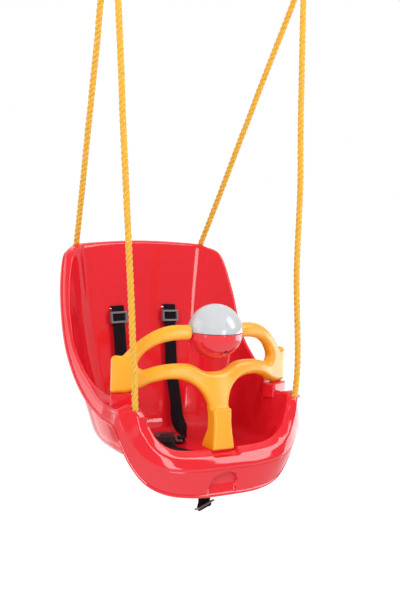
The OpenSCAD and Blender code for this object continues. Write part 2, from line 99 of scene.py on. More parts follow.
def smooth_step(low, high, x):
    t = np.clip((x - low) / (high - low), 0, 1)
    return t * t * (3 - 2 * t)


def through(stops, steps):
    """A smooth curve through rows of numbers, with steps pieces between each two."""
    p = np.asarray(stops, float)
    last = len(p) - 1
    rows = [
        spline(p[max(i - 1, 0)], p[i], p[i + 1], p[min(i + 2, last)], k / steps)
        for i in range(last)
        for k in range(steps)
    ]
    return np.array(rows + [p[last]])


def length_along(points):
    """How far along a polyline each of its points is."""
    return np.concatenate([[0], np.cumsum(np.linalg.norm(np.diff(points, axis=0), axis=1))])


def evenly(points, gap):
    """The same polyline with its points an even gap apart. Columns after the third come along."""
    at = length_along(points[:, :3])
    wanted = np.linspace(0, at[-1], max(2, round(at[-1] / gap) + 1))
    return np.stack([np.interp(wanted, at, column) for column in points.T], -1)


def piece(name, points, faces, body, slot, look, smooth_under=40, uv=None):
    """A new mesh piece that rides on a body. Points are in the seat's millimetres."""
    mesh = bpy.data.meshes.new(name)
    mesh.from_pydata(hung(points).tolist(), [], [list(map(int, f)) for f in faces])
    mesh.validate()
    made = bpy.data.objects.new(name, mesh)
    bpy.context.scene.collection.objects.link(made)
    if uv is not None:
        layer = mesh.uv_layers.new(name="UVMap")
        corners = np.zeros(len(mesh.loops), np.int32)
        mesh.loops.foreach_get("vertex_index", corners)
        layer.data.foreach_set("uv", np.asarray(uv, np.float32)[corners].ravel())
    finish_mesh(mesh, smooth_under)
    mesh.materials.append(look)
    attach(made, body)
    return made


def finish_mesh(mesh, smooth_under):
    mesh.shade_smooth()
    mesh.set_sharp_from_angle(angle=math.radians(smooth_under))


def face_outward(mesh):
    work = bmesh.new()
    work.from_mesh(mesh)
    bmesh.ops.recalc_face_normals(work, faces=work.faces)
    work.to_mesh(mesh)
    work.free()


def joined(parts):
    """Several (points, faces) as one."""
    points = np.concatenate([p for p, _ in parts])
    faces, start = [], 0
    for p, group in parts:
        faces += [[i + start for i in f] for f in group]
        start += len(p)
    return points, faces


# ---- Camera -------------------------------------------------------------------
CAMERA = {"place": [-937.34, -1467.8, 358.75], "azimuth": -31.27, "elevation": 6.06, "roll": 2.06,
          "lens": 62.25, "sensor": 36}


def add_camera():
    azimuth, elevation, roll = (math.radians(CAMERA[k]) for k in ("azimuth", "elevation", "roll"))
    back = np.array([
        math.sin(azimuth) * math.cos(elevation),
        -math.cos(azimuth) * math.cos(elevation),
        math.sin(elevation)])
    right = unit(np.cross(-back, [0, 0, 1]))
    up = np.cross(right, -back)
    rolled = [
        right * math.cos(roll) + up * math.sin(roll),
        up * math.cos(roll) - right * math.sin(roll),
        back]
    data = bpy.data.cameras.new("camera")
    data.lens = CAMERA["lens"]
    data.sensor_width = CAMERA["sensor"]
    data.clip_start, data.clip_end = 0.05, 50
    camera = bpy.data.objects.new("camera", data)
    bpy.context.scene.collection.objects.link(camera)
    turned = Matrix(tilted(rolled).T.tolist())
    camera.matrix_world = Matrix.Translation(Vector(hung(CAMERA["place"]))) @ turned.to_4x4()
    bpy.context.scene.camera = camera


# ---- Materials ------------------------------------------------------------------
def set_range(node, start, end, low, high):
    """Sets a Map Range node to take start..end to low..high."""
    for name, number in zip(("From Min", "From Max", "To Min", "To Max"), (start, end, low, high)):
        node.inputs[name].default_value = number


class Look:
    """A node material under construction: a Principled shader and what feeds it."""

    def __init__(self, name, **values):
        self.material = bpy.data.materials.new(name)
        self.material.use_nodes = True
        self.tree = self.material.node_tree
        self.shader = next(n for n in self.tree.nodes if n.type == "BSDF_PRINCIPLED")
        for socket, value in values.items():
            self.shader.inputs[socket.replace("_", " ")].default_value = value

    def node(self, kind, **settings):
        made = self.tree.nodes.new("ShaderNode" + kind)
        for key, value in settings.items():
            if key in made.inputs:
                made.inputs[key].default_value = value
            else:
                setattr(made, key, value)
        return made

    def link(self, source, target):
        self.tree.links.new(source, target)
        return target

    def place(self, scale=(1, 1, 1), kind="Object"):
        """Texture coordinates, scaled along each axis."""
        coordinates, mapping = self.node("TexCoord"), self.node("Mapping")
        mapping.inputs["Scale"].default_value = scale
        self.link(coordinates.outputs[kind], mapping.inputs["Vector"])
        return mapping.outputs["Vector"]

    def noise(self, where, scale, detail=3.0, roughness=0.5):
        made = self.node("TexNoise", Scale=scale, Detail=detail, Roughness=roughness)
        self.link(where, made.inputs["Vector"])
        return made.outputs["Fac"]

    def between(self, value, low, high, start=0.0, end=1.0):
        """value from start..end, mapped on to low..high."""
        made = self.node("MapRange")
        set_range(made, start, end, low, high)
        self.link(value, made.inputs["Value"])
        return made.outputs["Result"]

    def mixed(self, value, first, second):
        made = self.node("Mix", data_type="RGBA")
        self.link(value, made.inputs[0])
        made.inputs[6].default_value = (*first, 1)
        made.inputs[7].default_value = (*second, 1)
        return made.outputs[2]

    def sum(self, first, second, operation="ADD"):
        made = self.node("Math", operation=operation)
        for source, target in ((first, made.inputs[0]), (second, made.inputs[1])):
            if isinstance(source, (int, float)):
                target.default_value = source
            else:
                self.link(source, target)
        return made.outputs["Value"]

    def bump(self, height, depth):
        made = self.node("Bump", Strength=1.0, Distance=depth)
        self.link(height, made.inputs["Height"])
        self.link(made.outputs["Normal"], self.shader.inputs["Normal"])


def moulded(name, colour, deeper, roughness, grain, grain_depth):
    """Injection-moulded plastic: slow colour drift, faint waves, fine grain and light scuffs."""
    look = Look(name, IOR=1.55)
    drift = look.noise(look.place(), 9.0, 3.0)
    colour_share = look.between(drift, 0.0, 1.0, 0.3, 0.7)
    look.link(look.mixed(colour_share, deeper, colour), look.shader.inputs["Base Color"])
    scuffs = look.noise(look.place(), 60.0, 5.0, 0.65)
    look.link(look.between(scuffs, roughness * 0.9, roughness * 1.2, 0.35, 0.7),
              look.shader.inputs["Roughness"])
    height = look.sum(look.noise(look.place(), grain, 2.0), look.noise(look.place(), 34.0, 1.0))
    look.bump(height, grain_depth)
    return look.material


def metal(name, colour, roughness):
    """Plated metal, duller where it is worn."""
    look = Look(name, Metallic=1.0)
    worn = look.noise(look.place(), 90.0, 5.0, 0.6)
    look.link(look.mixed(worn, [c * 0.75 for c in colour], colour), look.shader.inputs["Base Color"])
    look.link(look.between(worn, roughness * 0.7, roughness * 1.5, 0.3, 0.7), look.shader.inputs["Roughness"])
    look.bump(look.noise(look.place(), 300.0, 3.0), 0.00004)
    return look.material


def webbing():
    """Black polyester webbing. Its UV map is millimetres across and along the strap."""
    look = Look("webbing", Roughness=0.85, Sheen_Weight=0.06, Sheen_Roughness=0.4, Specular_IOR_Level=0.15)
    place = look.place(kind="UV")
    waves = []
    for direction, scale in (("X", 0.42), ("Y", 0.30), ("DIAGONAL", 0.21)):
        wave = look.node("TexWave", wave_type="BANDS", bands_direction=direction, Scale=scale, Distortion=0.0)
        look.link(place, wave.inputs["Vector"])
        waves.append(wave.outputs["Fac"])
    across, along, twill = waves
    ribs = look.sum(across, along, "MULTIPLY")
    weave = look.sum(ribs, look.sum(twill, 0.5, "MULTIPLY"))
    fuzz = look.noise(look.place(), 900.0, 3.0)
    height = look.sum(weave, look.sum(fuzz, 0.35, "MULTIPLY"))
    look.link(look.mixed(look.between(height, 0, 1, 0.2, 1.5), (0.004, 0.002, 0.005), (0.014, 0.009, 0.015)),
              look.shader.inputs["Base Color"])
    look.bump(height, 0.00045)
    return look.material


def rope_fibre():
    """Twisted polyethylene yarn, its colour lighter on the raised yarns as painted highlight and darker in
    the grooves between them as painted shade. Its UV map is turns round a strand and metres along it.
    """
    look = Look("rope_fibre", Sheen_Weight=0.15, Sheen_Roughness=0.5, Specular_IOR_Level=0.45)
    yarns = look.node("TexWave", wave_type="BANDS", bands_direction="X", Scale=2.2, Distortion=1.2)
    yarns.inputs["Detail Scale"].default_value = 2.0
    look.link(look.place((1, 14, 1), "UV"), yarns.inputs["Vector"])
    fibres = look.noise(look.place((22, 30, 1), "UV"), 1.6, 4.0, 0.6)
    height = look.sum(look.sum(yarns.outputs["Fac"], 0.6, "MULTIPLY"), fibres)
    # The colour follows the bump: the yarn stripes, with painted highlight on their tops and painted shade in
    # the grooves between them.
    share = look.between(height, 0, 1, 0.35, 1.25)
    look.link(look.mixed(share, (0.76, 0.31, 0.008), (0.96, 0.60, 0.05)), look.shader.inputs["Base Color"])
    look.link(look.between(fibres, 0.34, 0.62, 0.3, 0.7), look.shader.inputs["Roughness"])
    look.bump(height, 0.0005)
    return look.material


RED = moulded("red_plastic", (0.80, 0.015, 0.028), (0.76, 0.013, 0.024), 0.07, 300.0, 0.000012)
YELLOW = moulded("yellow_plastic", (0.93, 0.41, 0.016), (0.91, 0.385, 0.013), 0.30, 300.0, 0.00002)
BALL_WHITE = moulded("white_plastic", (0.56, 0.575, 0.60), (0.545, 0.56, 0.585), 0.12, 300.0, 0.00001)
BALL_RED = moulded("ball_red_plastic", (0.80, 0.026, 0.040), (0.77, 0.023, 0.035), 0.14, 300.0, 0.00001)
GREY = moulded("grey_acetal", (0.17, 0.155, 0.18), (0.14, 0.125, 0.145), 0.42, 900.0, 0.00006)
DARK = moulded("dark_acetal", (0.055, 0.045, 0.05), (0.04, 0.034, 0.038), 0.4, 900.0, 0.00006)
STEEL = metal("zinc_plated_steel", (0.62, 0.61, 0.58), 0.32)
WEBBING = webbing()
ROPE = rope_fibre()


# ---- Ropes ------------------------------------------------------------------------
ROPE_D = 10.0
# The strands stand a little proud of the rope's nominal size.
LAID_D = ROPE_D + 1.3
# Length along the rope of one turn of its strands.
LAY = 30.0
FRONT_LEFT_ROUTE = np.array([
    [-0.158, 0.015, -0.016], [-0.159, 0.008, -0.008], [-0.160, 0.003, 0.002], [-0.161, 0.003, 0.014],
    [-0.162, 0.005, 0.055], [-0.164, 0.010, 0.105], [-0.166, 0.014, 0.160], [-0.168, 0.019, 0.215],
    [-0.170, 0.024, 0.270], [-0.172, 0.029, 0.325], [-0.174, 0.034, 0.380], [-0.176, 0.039, 0.435],
    [-0.178, 0.044, 0.490], [-0.179, 0.049, 0.545], [-0.181, 0.054, 0.600], [-0.183, 0.059, 0.655],
    [-0.185, 0.063, 0.700], [-0.187, 0.066, 0.738]]) / MM
FRONT_RIGHT_ROUTE = np.array([
    [0.158, 0.015, -0.016], [0.159, 0.008, -0.008], [0.160, 0.003, 0.002], [0.162, 0.002, 0.014],
    [0.165, 0.004, 0.055], [0.166, 0.009, 0.105], [0.165, 0.014, 0.160], [0.165, 0.019, 0.215],
    [0.168, 0.024, 0.270], [0.172, 0.029, 0.325], [0.175, 0.034, 0.380], [0.176, 0.039, 0.435],
    [0.177, 0.044, 0.490], [0.179, 0.049, 0.545], [0.181, 0.054, 0.600], [0.183, 0.059, 0.655],
    [0.185, 0.063, 0.700], [0.187, 0.066, 0.738]]) / MM
REAR_ROUTE = np.array([
    [0.130, 0.316, 0.226], [0.132, 0.311, 0.237], [0.134, 0.306, 0.247], [0.136, 0.300, 0.259],
    [0.141, 0.281, 0.300], [0.147, 0.258, 0.350], [0.153, 0.236, 0.400], [0.159, 0.214, 0.450],
    [0.165, 0.191, 0.500], [0.171, 0.169, 0.550], [0.177, 0.146, 0.600], [0.184, 0.124, 0.650],
    [0.189, 0.103, 0.695], [0.191, 0.097, 0.712]]) / MM


def frames_along(path):
    """Tangents and two steady side directions along a path."""
    tangents = unit(np.gradient(path, axis=0))
    first = unit(np.cross(tangents[0], [1, 0, 0] if abs(tangents[0][0]) < 0.9 else [0, 1, 0]))
    sides = [first]
    for t in tangents[1:]:
        sides.append(unit(sides[-1] - (sides[-1] @ t) * t))
    sides = np.array(sides)
    return tangents, sides, np.cross(tangents, sides)


def tube(path, radius, sides):
    """A round tube along a path: points, faces and (turns, metres) at each point."""
    _, first, second = frames_along(path)
    angles = 2 * np.pi * np.arange(sides) / sides
    ring = first[:, None] * np.cos(angles)[None, :, None] + second[:, None] * np.sin(angles)[None, :, None]
    points = (path[:, None] + ring * radius).reshape(-1, 3)
    faces = [
        [i * sides + k, i * sides + (k + 1) % sides, (i + 1) * sides + (k + 1) % sides, (i + 1) * sides + k]
        for i in range(len(path) - 1)
        for k in range(sides)
    ]
    faces += [list(range(sides))[::-1], [(len(path) - 1) * sides + k for k in range(sides)]]
    along = length_along(path) * MM
    turns = np.abs(2 * np.arange(sides) / sides - 1)
    uv = np.stack(np.broadcast_arrays(turns[None, :], along[:, None]), -1).reshape(-1, 2)
    return points, faces, uv


STRANDS, STRAND_SIDES, RINGS_A_LAY = 3, 12, 22


def laid_rope(path, diameter, lay=LAY):
    """Three strands twisted round each other along a path."""
    path = evenly(path, lay / RINGS_A_LAY)
    _, first, second = frames_along(path)
    strand = 0.27 * diameter
    orbit = diameter / 2 - strand
    along = length_along(path)
    parts, uvs = [], []
    for k in range(STRANDS):
        angle = 2 * np.pi * (along / lay + k / STRANDS)
        centre = path + orbit * (first * np.cos(angle)[:, None] + second * np.sin(angle)[:, None])
        points, faces, uv = tube(centre, strand, STRAND_SIDES)
        parts.append((points, faces))
        uvs.append(uv)
    points, faces = joined(parts)
    return points, faces, np.concatenate(uvs)


def add_rope(name, route):
    path = through(route, 6)
    points, faces, uv = laid_rope(path, LAID_D)
    made = piece(name + "_laid", points, faces, "seat", "rope_fibre", ROPE, 60, uv)
    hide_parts(name)


def standing(base, toward):
    """Matrix rows (x, y, z axes) of a frame at base whose z axis points toward a place."""
    z = unit(np.asarray(toward, float) - base)
    x = unit(np.cross([0, 1, 0] if abs(z[1]) < 0.9 else [1, 0, 0], z))
    return np.array([x, np.cross(z, x), z])


TURN_STEPS = 20


def coil(radius, length, turns, squash=1.0):
    """A helix about z that starts at z = 0, squash times as wide in y as in x."""
    t = np.linspace(0, 1, round(turns * TURN_STEPS) + 1)
    a = 2 * np.pi * turns * t
    return np.stack([radius * np.cos(a), radius * squash * np.sin(a), length * t], -1)


STOP_L, STOP_R, STOP_BELOW = 18.0, 10.0, 13.0
# Rope pulled tight in a knot is thinner and more steeply laid than rope that hangs.
KNOT_D, KNOT_LAY = 9.0, 24.0


def add_stopper(name, stop, hole):
    """A barrel knot: the rope wound twice round itself, its cut end poking out below."""
    axes = standing(stop, hole)
    wrap = coil(STOP_R - 4.6, STOP_L - 9.4, 2.1)
    lead = np.array([[0, 0, -1.0], [2.5, -1.5, 1.5]])
    path = np.concatenate([lead, wrap + [0, 0, 4.4], [[1.5, 1.0, STOP_L - 2]]]) - [0, 0, STOP_BELOW]
    points, faces, uv = laid_rope(through(path, 3), KNOT_D, KNOT_LAY)
    made = piece(name + "_tied", stop + points @ axes, faces, "seat", "rope_fibre", ROPE, 60, uv)
    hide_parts(name)
    return made


RING_WIRE_R = 4.0
EYE_R = ROPE_D / 2 + RING_WIRE_R + 2.2
EYE_SIDE = ROPE_D / 2 + 0.6
EYE_D, EYE_LAY = 9.2, 27.0
BINDING_L, TWINE_R, TWINE_TURNS, TWINE_SIDES = 22.0, 1.15, 10, 8


def add_eye(name, across, toward, drop):
    """The rope turned round its ring, its two legs bound together with whipping twine."""
    top = np.array([across[0] * HANG[0] + across[1] * EYE_SIDE, HANG[1], HANG[2]])
    axes = standing(top, toward)
    angles = np.radians(np.linspace(-40, 220, 24))
    loop = np.stack([0 * angles, EYE_R * np.cos(angles), -EYE_R * np.sin(angles)], -1)
    leg = drop - BINDING_L / 2
    legs = np.array([[0, 4.6, leg + 16], [0, 4.7, leg + 4], [0, 6.5, leg - 6]])
    path = np.concatenate([legs, loop, legs[::-1] * [1, -1, 1]])
    points, faces, uv = laid_rope(through(path, 3), EYE_D, EYE_LAY)
    side = unit(np.cross(axes[2], [1, 0, 0]))
    local = np.array([np.cross(side, axes[2]), side, axes[2]])
    winding = coil(6.2, BINDING_L, TWINE_TURNS, 1.55) + [0, 0, leg - 1]
    twine, twine_faces, twine_uv = tube(winding, TWINE_R, TWINE_SIDES)
    all_points, all_faces = joined([(points, faces), (twine, twine_faces)])
    made = piece(name + "_tied", top + all_points @ local, all_faces, "seat", "rope_fibre", ROPE, 60,
                 np.concatenate([uv, twine_uv]))
    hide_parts(name)
    return made


FRONT_HOLE, FRONT_STOP = np.array([160.0, 1, 4]), np.array([158.0, 15, -16])
REAR_HOLE, REAR_STOP = np.array([134.0, 306, 247]), np.array([130.0, 316, 226])


def add_ropes():
    for side, sign in (("left", -1), ("right", 1)):
        flip = np.array([sign, 1, 1])
        front = FRONT_LEFT_ROUTE if side == "left" else FRONT_RIGHT_ROUTE
        for kind, route, stop, hole, lean, drop in (
            ("front", front, FRONT_STOP, FRONT_HOLE, -1, 27.0),
            ("rear", REAR_ROUTE * flip, REAR_STOP, REAR_HOLE, 1, 52.0),
        ):
            knots = [add_stopper(f"stopper_{kind}_{side}", stop * flip, hole * flip),
                     add_eye(f"eye_{kind}_{side}", (sign, sign * lean), route[-1], drop)]
            add_rope(f"rope_{kind}_{side}", route)


# ---- Seat shell -----------------------------------------------------------------------
# Stations round half of the rim, from the middle of the front lip to the middle of the
# back: floor edge, lower wall, inner edge of the rim, top of the rim, crest and hem.
STATIONS = np.array([
    [[0, 14, -104], [0, -2, -84], [0, -17, -74], [0, -31, -84], [0, -40, -100], [0, -34, -152]],
    [[56, 14, -104], [60, -2, -84], [58, -17, -73], [60, -31, -83], [60, -39, -100], [60, -32, -151]],
    [[90, 18, -104], [92, 0, -80], [98, -15, -67], [104, -28, -79], [108, -33, -97], [108, -19, -144]],
    [[112, 27, -104], [114, 5, -68], [124, -12, -50], [134, -20, -65], [142, -20, -86], [141, -3, -126]],
    [[124, 40, -104], [127, 12, -56], [137, -6, -28], [152, -10, -40], [164, -6, -64], [165, 9, -93]],
    [[131, 54, -104], [134, 26, -48], [145, 0, -6], [162, -3, -6], [179, 6, -34], [180, 17, -58]],
    [[136, 68, -104], [138, 40, -46], [149, 18, 4], [168, 16, 6], [185, 18, -6], [188, 22, -36]],
    [[139, 82, -104], [140, 58, -46], [142, 44, -2], [164, 44, -1], [182, 47, -5], [189, 44, -29]],
    [[141, 98, -104], [143, 84, -48], [142, 76, -5], [164, 78, -4], [182, 81, -1], [190, 76, -25]],
    [[141, 122, -104], [154, 122, -40], [172, 122, 16], [178, 122, 18], [183, 122, 16], [191, 127, -7]],
    [[139, 156, -104], [162, 166, -20], [177, 171, 45], [180, 171, 47], [184, 172, 45], [191, 181, 29]],
    [[132, 190, -104], [164, 210, 14], [177, 214, 88], [179, 215, 90], [183, 216, 89], [189, 228, 84]],
    [[120, 216, -103], [159, 238, 48], [173, 245, 164], [176, 247, 166], [180, 250, 166], [184, 260, 164]],
    [[102, 233, -102], [141, 265, 76], [160, 265, 226], [163, 270, 230], [167, 277, 231], [170, 285, 224]],
    [[82, 241, -102], [118, 281, 90], [139, 281, 244], [141, 292, 247], [144, 308, 246], [147, 314, 237]],
    [[60, 244, -102], [90, 287, 95], [112, 294, 251], [115, 304, 253], [118, 317, 251], [120, 322, 241]],
    [[0, 245, -102], [0, 289, 95], [0, 300, 256], [0, 309, 258], [0, 318, 256], [0, 323, 245]]], float)
FLOOR_MIDDLE = np.array([0, 130, -107.0])
LAST = len(STATIONS) - 1
# How far each corner of the profile is rounded, in mm, and in how many steps.
CORNERS = [(36, 10), (200, 16), (6, 6), (4.5, 6), (3.5, 5)]
# Points added along each straight before a corner.
RUNS = [5, 6, 6, 3, 3]
# Points up the skirt from its hem, in mm, and then as shares of what is left.
HEM_STEPS = [0.8, 1.6, 2.4, 3.0, 3.6, 4.2, 4.8, 5.6, 6.6]
SKIRT_SHARES = np.concatenate([np.linspace(0, 0.25, 11)[1:], np.linspace(0.25, 1, 18)[1:-1]])
WALL = 3.0
NOTCH_HALF, NOTCH_DEPTH = 25.0, 6.5
# Where the columns of the sheet stand between the stations, closest at the lip's notch.
COLUMNS = np.concatenate([
    np.arange(0, 0.66, 0.03), np.arange(0.66, 4, 0.09), np.arange(4, LAST, 0.1), [LAST]])


def station(i):
    """A station, mirrored past either end of the half rim."""
    if i < 0:
        return STATIONS[-i] * MIRROR
    return STATIONS[2 * LAST - i] * MIRROR if i > LAST else STATIONS[i]


def keys(s):
    """The six key points of the profile at a place between stations."""
    i = int(s)
    return spline(station(i - 1), station(i), station(i + 1), station(i + 2), s - i)


def rounded(a, b, c, cut, steps):
    """The corner b between a and c, cut back and curved."""
    p = b + unit(a - b) * min(cut, 0.48 * np.linalg.norm(a - b))
    q = b + unit(c - b) * min(cut, 0.48 * np.linalg.norm(c - b))
    t = np.linspace(0, 1, steps + 1)[:, None]
    return (1 - t) ** 2 * p + 2 * t * (1 - t) * b + t * t * q


def profile(s):
    """The skin's profile from the floor over the rim to the hem."""
    k = np.concatenate([[FLOOR_MIDDLE], keys(s)])
    rows = [0.55 * k[0:1] + 0.45 * k[1:2]]
    for i, ((cut, steps), extra) in enumerate(zip(CORNERS, RUNS)):
        arc = rounded(k[i], k[i + 1], k[i + 2], cut, steps)
        t = np.linspace(0, 1, extra + 2)[1:-1, None]
        rows += [rows[-1][-1:] * (1 - t) + arc[:1] * t, arc]
    top, hem = rows[-1][-1], k[6]
    down = unit(top - hem)
    fit = min(1.0, 0.8 * np.linalg.norm(top - hem) / HEM_STEPS[-1])
    near = hem + np.array(HEM_STEPS[::-1])[:, None] * down * fit
    t = SKIRT_SHARES[:, None]
    rows += [top * (1 - t) + near[:1] * t, near, [hem]]
    return np.concatenate(rows)


SKIRT_START = sum(n + 1 for _, n in CORNERS) + sum(RUNS) + 1
CREST = SKIRT_START - 3


def grid_normals(skin):
    """Normals towards the back of the sheet, round a closed ring of columns."""
    round_ring = np.roll(skin, -1, 0) - np.roll(skin, 1, 0)
    down = np.gradient(skin, axis=1)
    return unit(np.cross(round_ring, down))


def shell_skin():
    """The side of the moulding that shows, as a closed ring of profiles."""
    half = np.array([profile(s) for s in COLUMNS])
    skin = np.concatenate([half, half[-2:0:-1] * MIRROR])
    x, y, z = skin[..., 0], skin[..., 1], skin[..., 2]
    # The lip dips where the guard's foot stands on it.
    dip = smooth_step(NOTCH_HALF + 2, NOTCH_HALF - 1, abs(x)) * smooth_step(-88, -78, z)
    skin[..., 2] -= NOTCH_DEPTH * dip * (y <= 10) * (z >= -96) * (z <= -60)
    skin += grid_normals(skin) * shell_relief(skin)[..., None]
    return skin


def shell_relief(skin):
    """How far each point of the skin is pressed in, in mm."""
    x, y, z = skin[..., 0], skin[..., 1], skin[..., 2]
    row = np.arange(skin.shape[1])[None, :]
    skirt = (row >= SKIRT_START - 2) * (y < 60)
    # The arched scoop in the front of the skirt, shallow again by the hem.
    left = np.interp(z, [-150, -143, -128, -119, -112], [38, 38, 34, 28, 8])
    right = np.interp(z, [-150, -138, -126, -118, -112], [16, 18, 19, 14, 3])
    inside = np.minimum(np.where(x < 0, left, right) - abs(x), -111 - z)
    floor = np.interp(z, [-152, -148, -134, -118], [0, 0.6, 6.5, 8])
    relief = floor * smooth_step(-1.5, 2.2, inside) * skirt
    # A groove runs under the crest, and a bead just above the hem.
    gaps = np.linalg.norm(np.diff(skin, axis=1), axis=2)
    to_hem = np.pad(np.cumsum(gaps[:, ::-1], axis=1)[:, ::-1], ((0, 0), (0, 1)))
    to_crest = to_hem[:, CREST][:, None] - to_hem
    # The groove fades round the ears.
    shallow = 0.35 + 0.65 * smooth_step(150, 100, abs(x))
    relief += 0.8 * shallow * np.exp(-((to_crest - 4.5) / 1.1) ** 2) * (row >= CREST)
    relief += 0.9 * np.exp(-((to_hem - 4.2) / 0.75) ** 2) * (row >= SKIRT_START)
    relief += -0.7 * smooth_step(3.4, 2.4, to_hem) * (row >= SKIRT_START)
    return relief


def ring_faces(columns, rows):
    """Quads between the columns of a closed ring."""
    faces = []
    for i in range(columns):
        a, b = i * rows, (i + 1) % columns * rows
        faces += [[a + k + 1, b + k + 1, b + k, a + k] for k in range(rows - 1)]
    return faces


def shell_sheet():
    """The closed sheet: skin, rounded hem, and the back of the wall."""
    skin = shell_skin()
    normals = grid_normals(skin)
    back = skin + WALL * normals
    hem_down = unit(skin[:, -1] - skin[:, -2])
    middle = (skin[:, -1] + back[:, -1]) / 2
    half = (skin[:, -1] - back[:, -1]) / 2
    turns = np.radians([36, 72, 108, 144])
    cap = [middle + half * math.cos(a) + WALL / 2 * hem_down * math.sin(a) for a in turns]
    sheet = np.concatenate([skin, np.stack(cap, 1), back[:, ::-1]], axis=1)
    columns, rows = sheet.shape[:2]
    points = np.concatenate([sheet.reshape(-1, 3), [FLOOR_MIDDLE], [FLOOR_MIDDLE - [0, 0, WALL]]])
    faces = ring_faces(columns, rows)
    top = columns * rows
    for i in range(columns):
        j = (i + 1) % columns
        faces += [[top, i * rows, j * rows], [top + 1, j * rows + rows - 1, i * rows + rows - 1]]
    return points, faces


def lathe(radii_heights, steps=48):
    """A turned solid about its own z axis, closed at both ends."""
    rows = np.asarray(radii_heights, float)
    angles = 2 * np.pi * np.arange(steps) / steps
    points = [[r * math.cos(a), r * math.sin(a), h] for r, h in rows for a in angles]
    n = len(rows)
    faces = [
        [i * steps + k, i * steps + (k + 1) % steps, (i + 1) * steps + (k + 1) % steps, (i + 1) * steps + k]
        for i in range(n - 1)
        for k in range(steps)
    ]
    faces += [list(range(steps))[::-1], [(n - 1) * steps + k for k in range(steps)]]
    return np.array(points), faces


CORNER_STEPS = 6


def slab(size, corner, height):
    """A flat rounded rectangle, centred, from z = 0 up to a height."""
    outline = []
    for cx, cy, first in ((1, 1, 0), (-1, 1, 90), (-1, -1, 180), (1, -1, 270)):
        for a in np.radians(np.linspace(first, first + 90, CORNER_STEPS + 1)):
            outline.append([cx * (size[0] / 2 - corner) + corner * math.cos(a),
                            cy * (size[1] / 2 - corner) + corner * math.sin(a)])
    n = len(outline)
    points = [[x, y, z] for z in (0, height) for x, y in outline]
    faces = [[k, (k + 1) % n, n + (k + 1) % n, n + k] for k in range(n)]
    return np.array(points), faces + [list(range(n))[::-1], list(range(n, 2 * n))]


def raw_object(name, points, faces):
    """A working object for a modifier, which is no piece of its own."""
    mesh = bpy.data.meshes.new(name)
    mesh.from_pydata(hung(points).tolist(), [], [list(map(int, f)) for f in faces])
    mesh.validate()
    face_outward(mesh)
    made = bpy.data.objects.new(name, mesh)
    bpy.context.scene.collection.objects.link(made)
    return made


def apply_modifiers(made):
    """Turns what a working object's modifiers show into its mesh."""
    depsgraph = bpy.context.evaluated_depsgraph_get()
    mesh = bpy.data.meshes.new_from_object(made.evaluated_get(depsgraph))
    made.modifiers.clear()
    made.data = mesh


def cut_with(made, cutters):
    """Cuts closed cutters, given as (points, faces), out of a piece."""
    tool = raw_object("cutter", *joined(cutters))
    boolean = made.modifiers.new("cut", "BOOLEAN")
    boolean.operation, boolean.object, boolean.solver = "DIFFERENCE", tool, "EXACT"
    apply_modifiers(made)
    bpy.data.objects.remove(tool)


def placed(part, base, axes):
    """A part stood on a base, its own axes turned to the rows of axes."""
    points, faces = part
    return np.asarray(base) + points @ np.asarray(axes), faces


def two_sided(part):
    """A part and its mirror image on the other side of the seat."""
    points, faces = part
    return [(points, faces), (points * MIRROR, [f[::-1] for f in faces])]


BALL = np.array([0, 22.0, 119])
# The guard follows a bow round the lap as far as its paddles, which are flat.
BOW_R, PADDLE_X = 320.0, 125.0
TURN = math.asin(PADDLE_X / BOW_R)
PADDLE_Y = BALL[1] + BOW_R - math.sqrt(BOW_R**2 - PADDLE_X**2)
PADDLE_BASE = np.array([PADDLE_X, PADDLE_Y, 0])
ALONG_PADDLE = np.array([
    [math.cos(TURN), math.sin(TURN), 0],
    [-math.sin(TURN), math.cos(TURN), 0],
    [0, 0, 1]])
SOCKET_Z, TONGUE_X, TONGUE, TONGUE_LEN, SOCKET_GAP = 16.0, 36.0, (26.0, 8.0), 34.0, 0.5
SOCKET_BLOCK, BLOCK_X, BLOCK_BELOW = (42, 27), 33, 12
SLOT_X, SLOT_Y, SLOT_Z, WEB_W, WEB_T = 56.0, 308, 131.0, 25.0, 1.4
WEB_SLOT, SLOT_CORNER = (WEB_W + 4, 5), 2.4
CROTCH_SLOT = [0, 38, -118]
ROPE_HOLE = [(6.5, -22), (6.5, 16), (6.5, 42)]


def socket_parts():
    """The two blocks on the rim that take the guard's tongues, and the sockets in them."""
    block = slab(SOCKET_BLOCK, 5, SOCKET_Z + BLOCK_BELOW - 0.4)
    blocks = two_sided(placed(block, PADDLE_BASE + ALONG_PADDLE[0] * BLOCK_X - [0, 0, BLOCK_BELOW],
                              ALONG_PADDLE))
    socket = slab((TONGUE[0] + 2 * SOCKET_GAP, TONGUE[1] + 2 * SOCKET_GAP), 1.5, TONGUE_LEN + 12)
    foot = PADDLE_BASE + ALONG_PADDLE[0] * TONGUE_X + [0, 0, SOCKET_Z - TONGUE_LEN - 3]
    return blocks, two_sided(placed(socket, foot, ALONG_PADDLE))


def add_shell():
    shell = piece("moulded_seat", *shell_sheet(), "seat", "shell_plastic", RED)
    cutters = []
    for base, toward in ((FRONT_STOP, FRONT_HOLE), (REAR_STOP, REAR_HOLE)):
        cutters += two_sided(placed(lathe(ROPE_HOLE), base, standing(base, toward)))
    facing_back = np.array([[1, 0, 0], [0, 0, 1], [0, -1, 0]])
    cutters += two_sided(placed(slab(WEB_SLOT, SLOT_CORNER, 30), [SLOT_X, SLOT_Y, SLOT_Z], facing_back))
    cutters.append(placed(slab(WEB_SLOT, SLOT_CORNER, 24), CROTCH_SLOT, np.eye(3)))
    cut_with(shell, cutters)
    blocks, sockets = socket_parts()
    block = raw_object("socket_blocks", *joined(blocks))
    bevel = block.modifiers.new("round", "BEVEL")
    bevel.width, bevel.segments, bevel.limit_method = 2.5 * MM, 4, "ANGLE"
    apply_modifiers(block)
    cut_with(block, sockets)
    cut_with(shell, sockets)
    join_into(shell, block)
    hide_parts("seat_shell")
    finish_mesh(shell.data, 38)


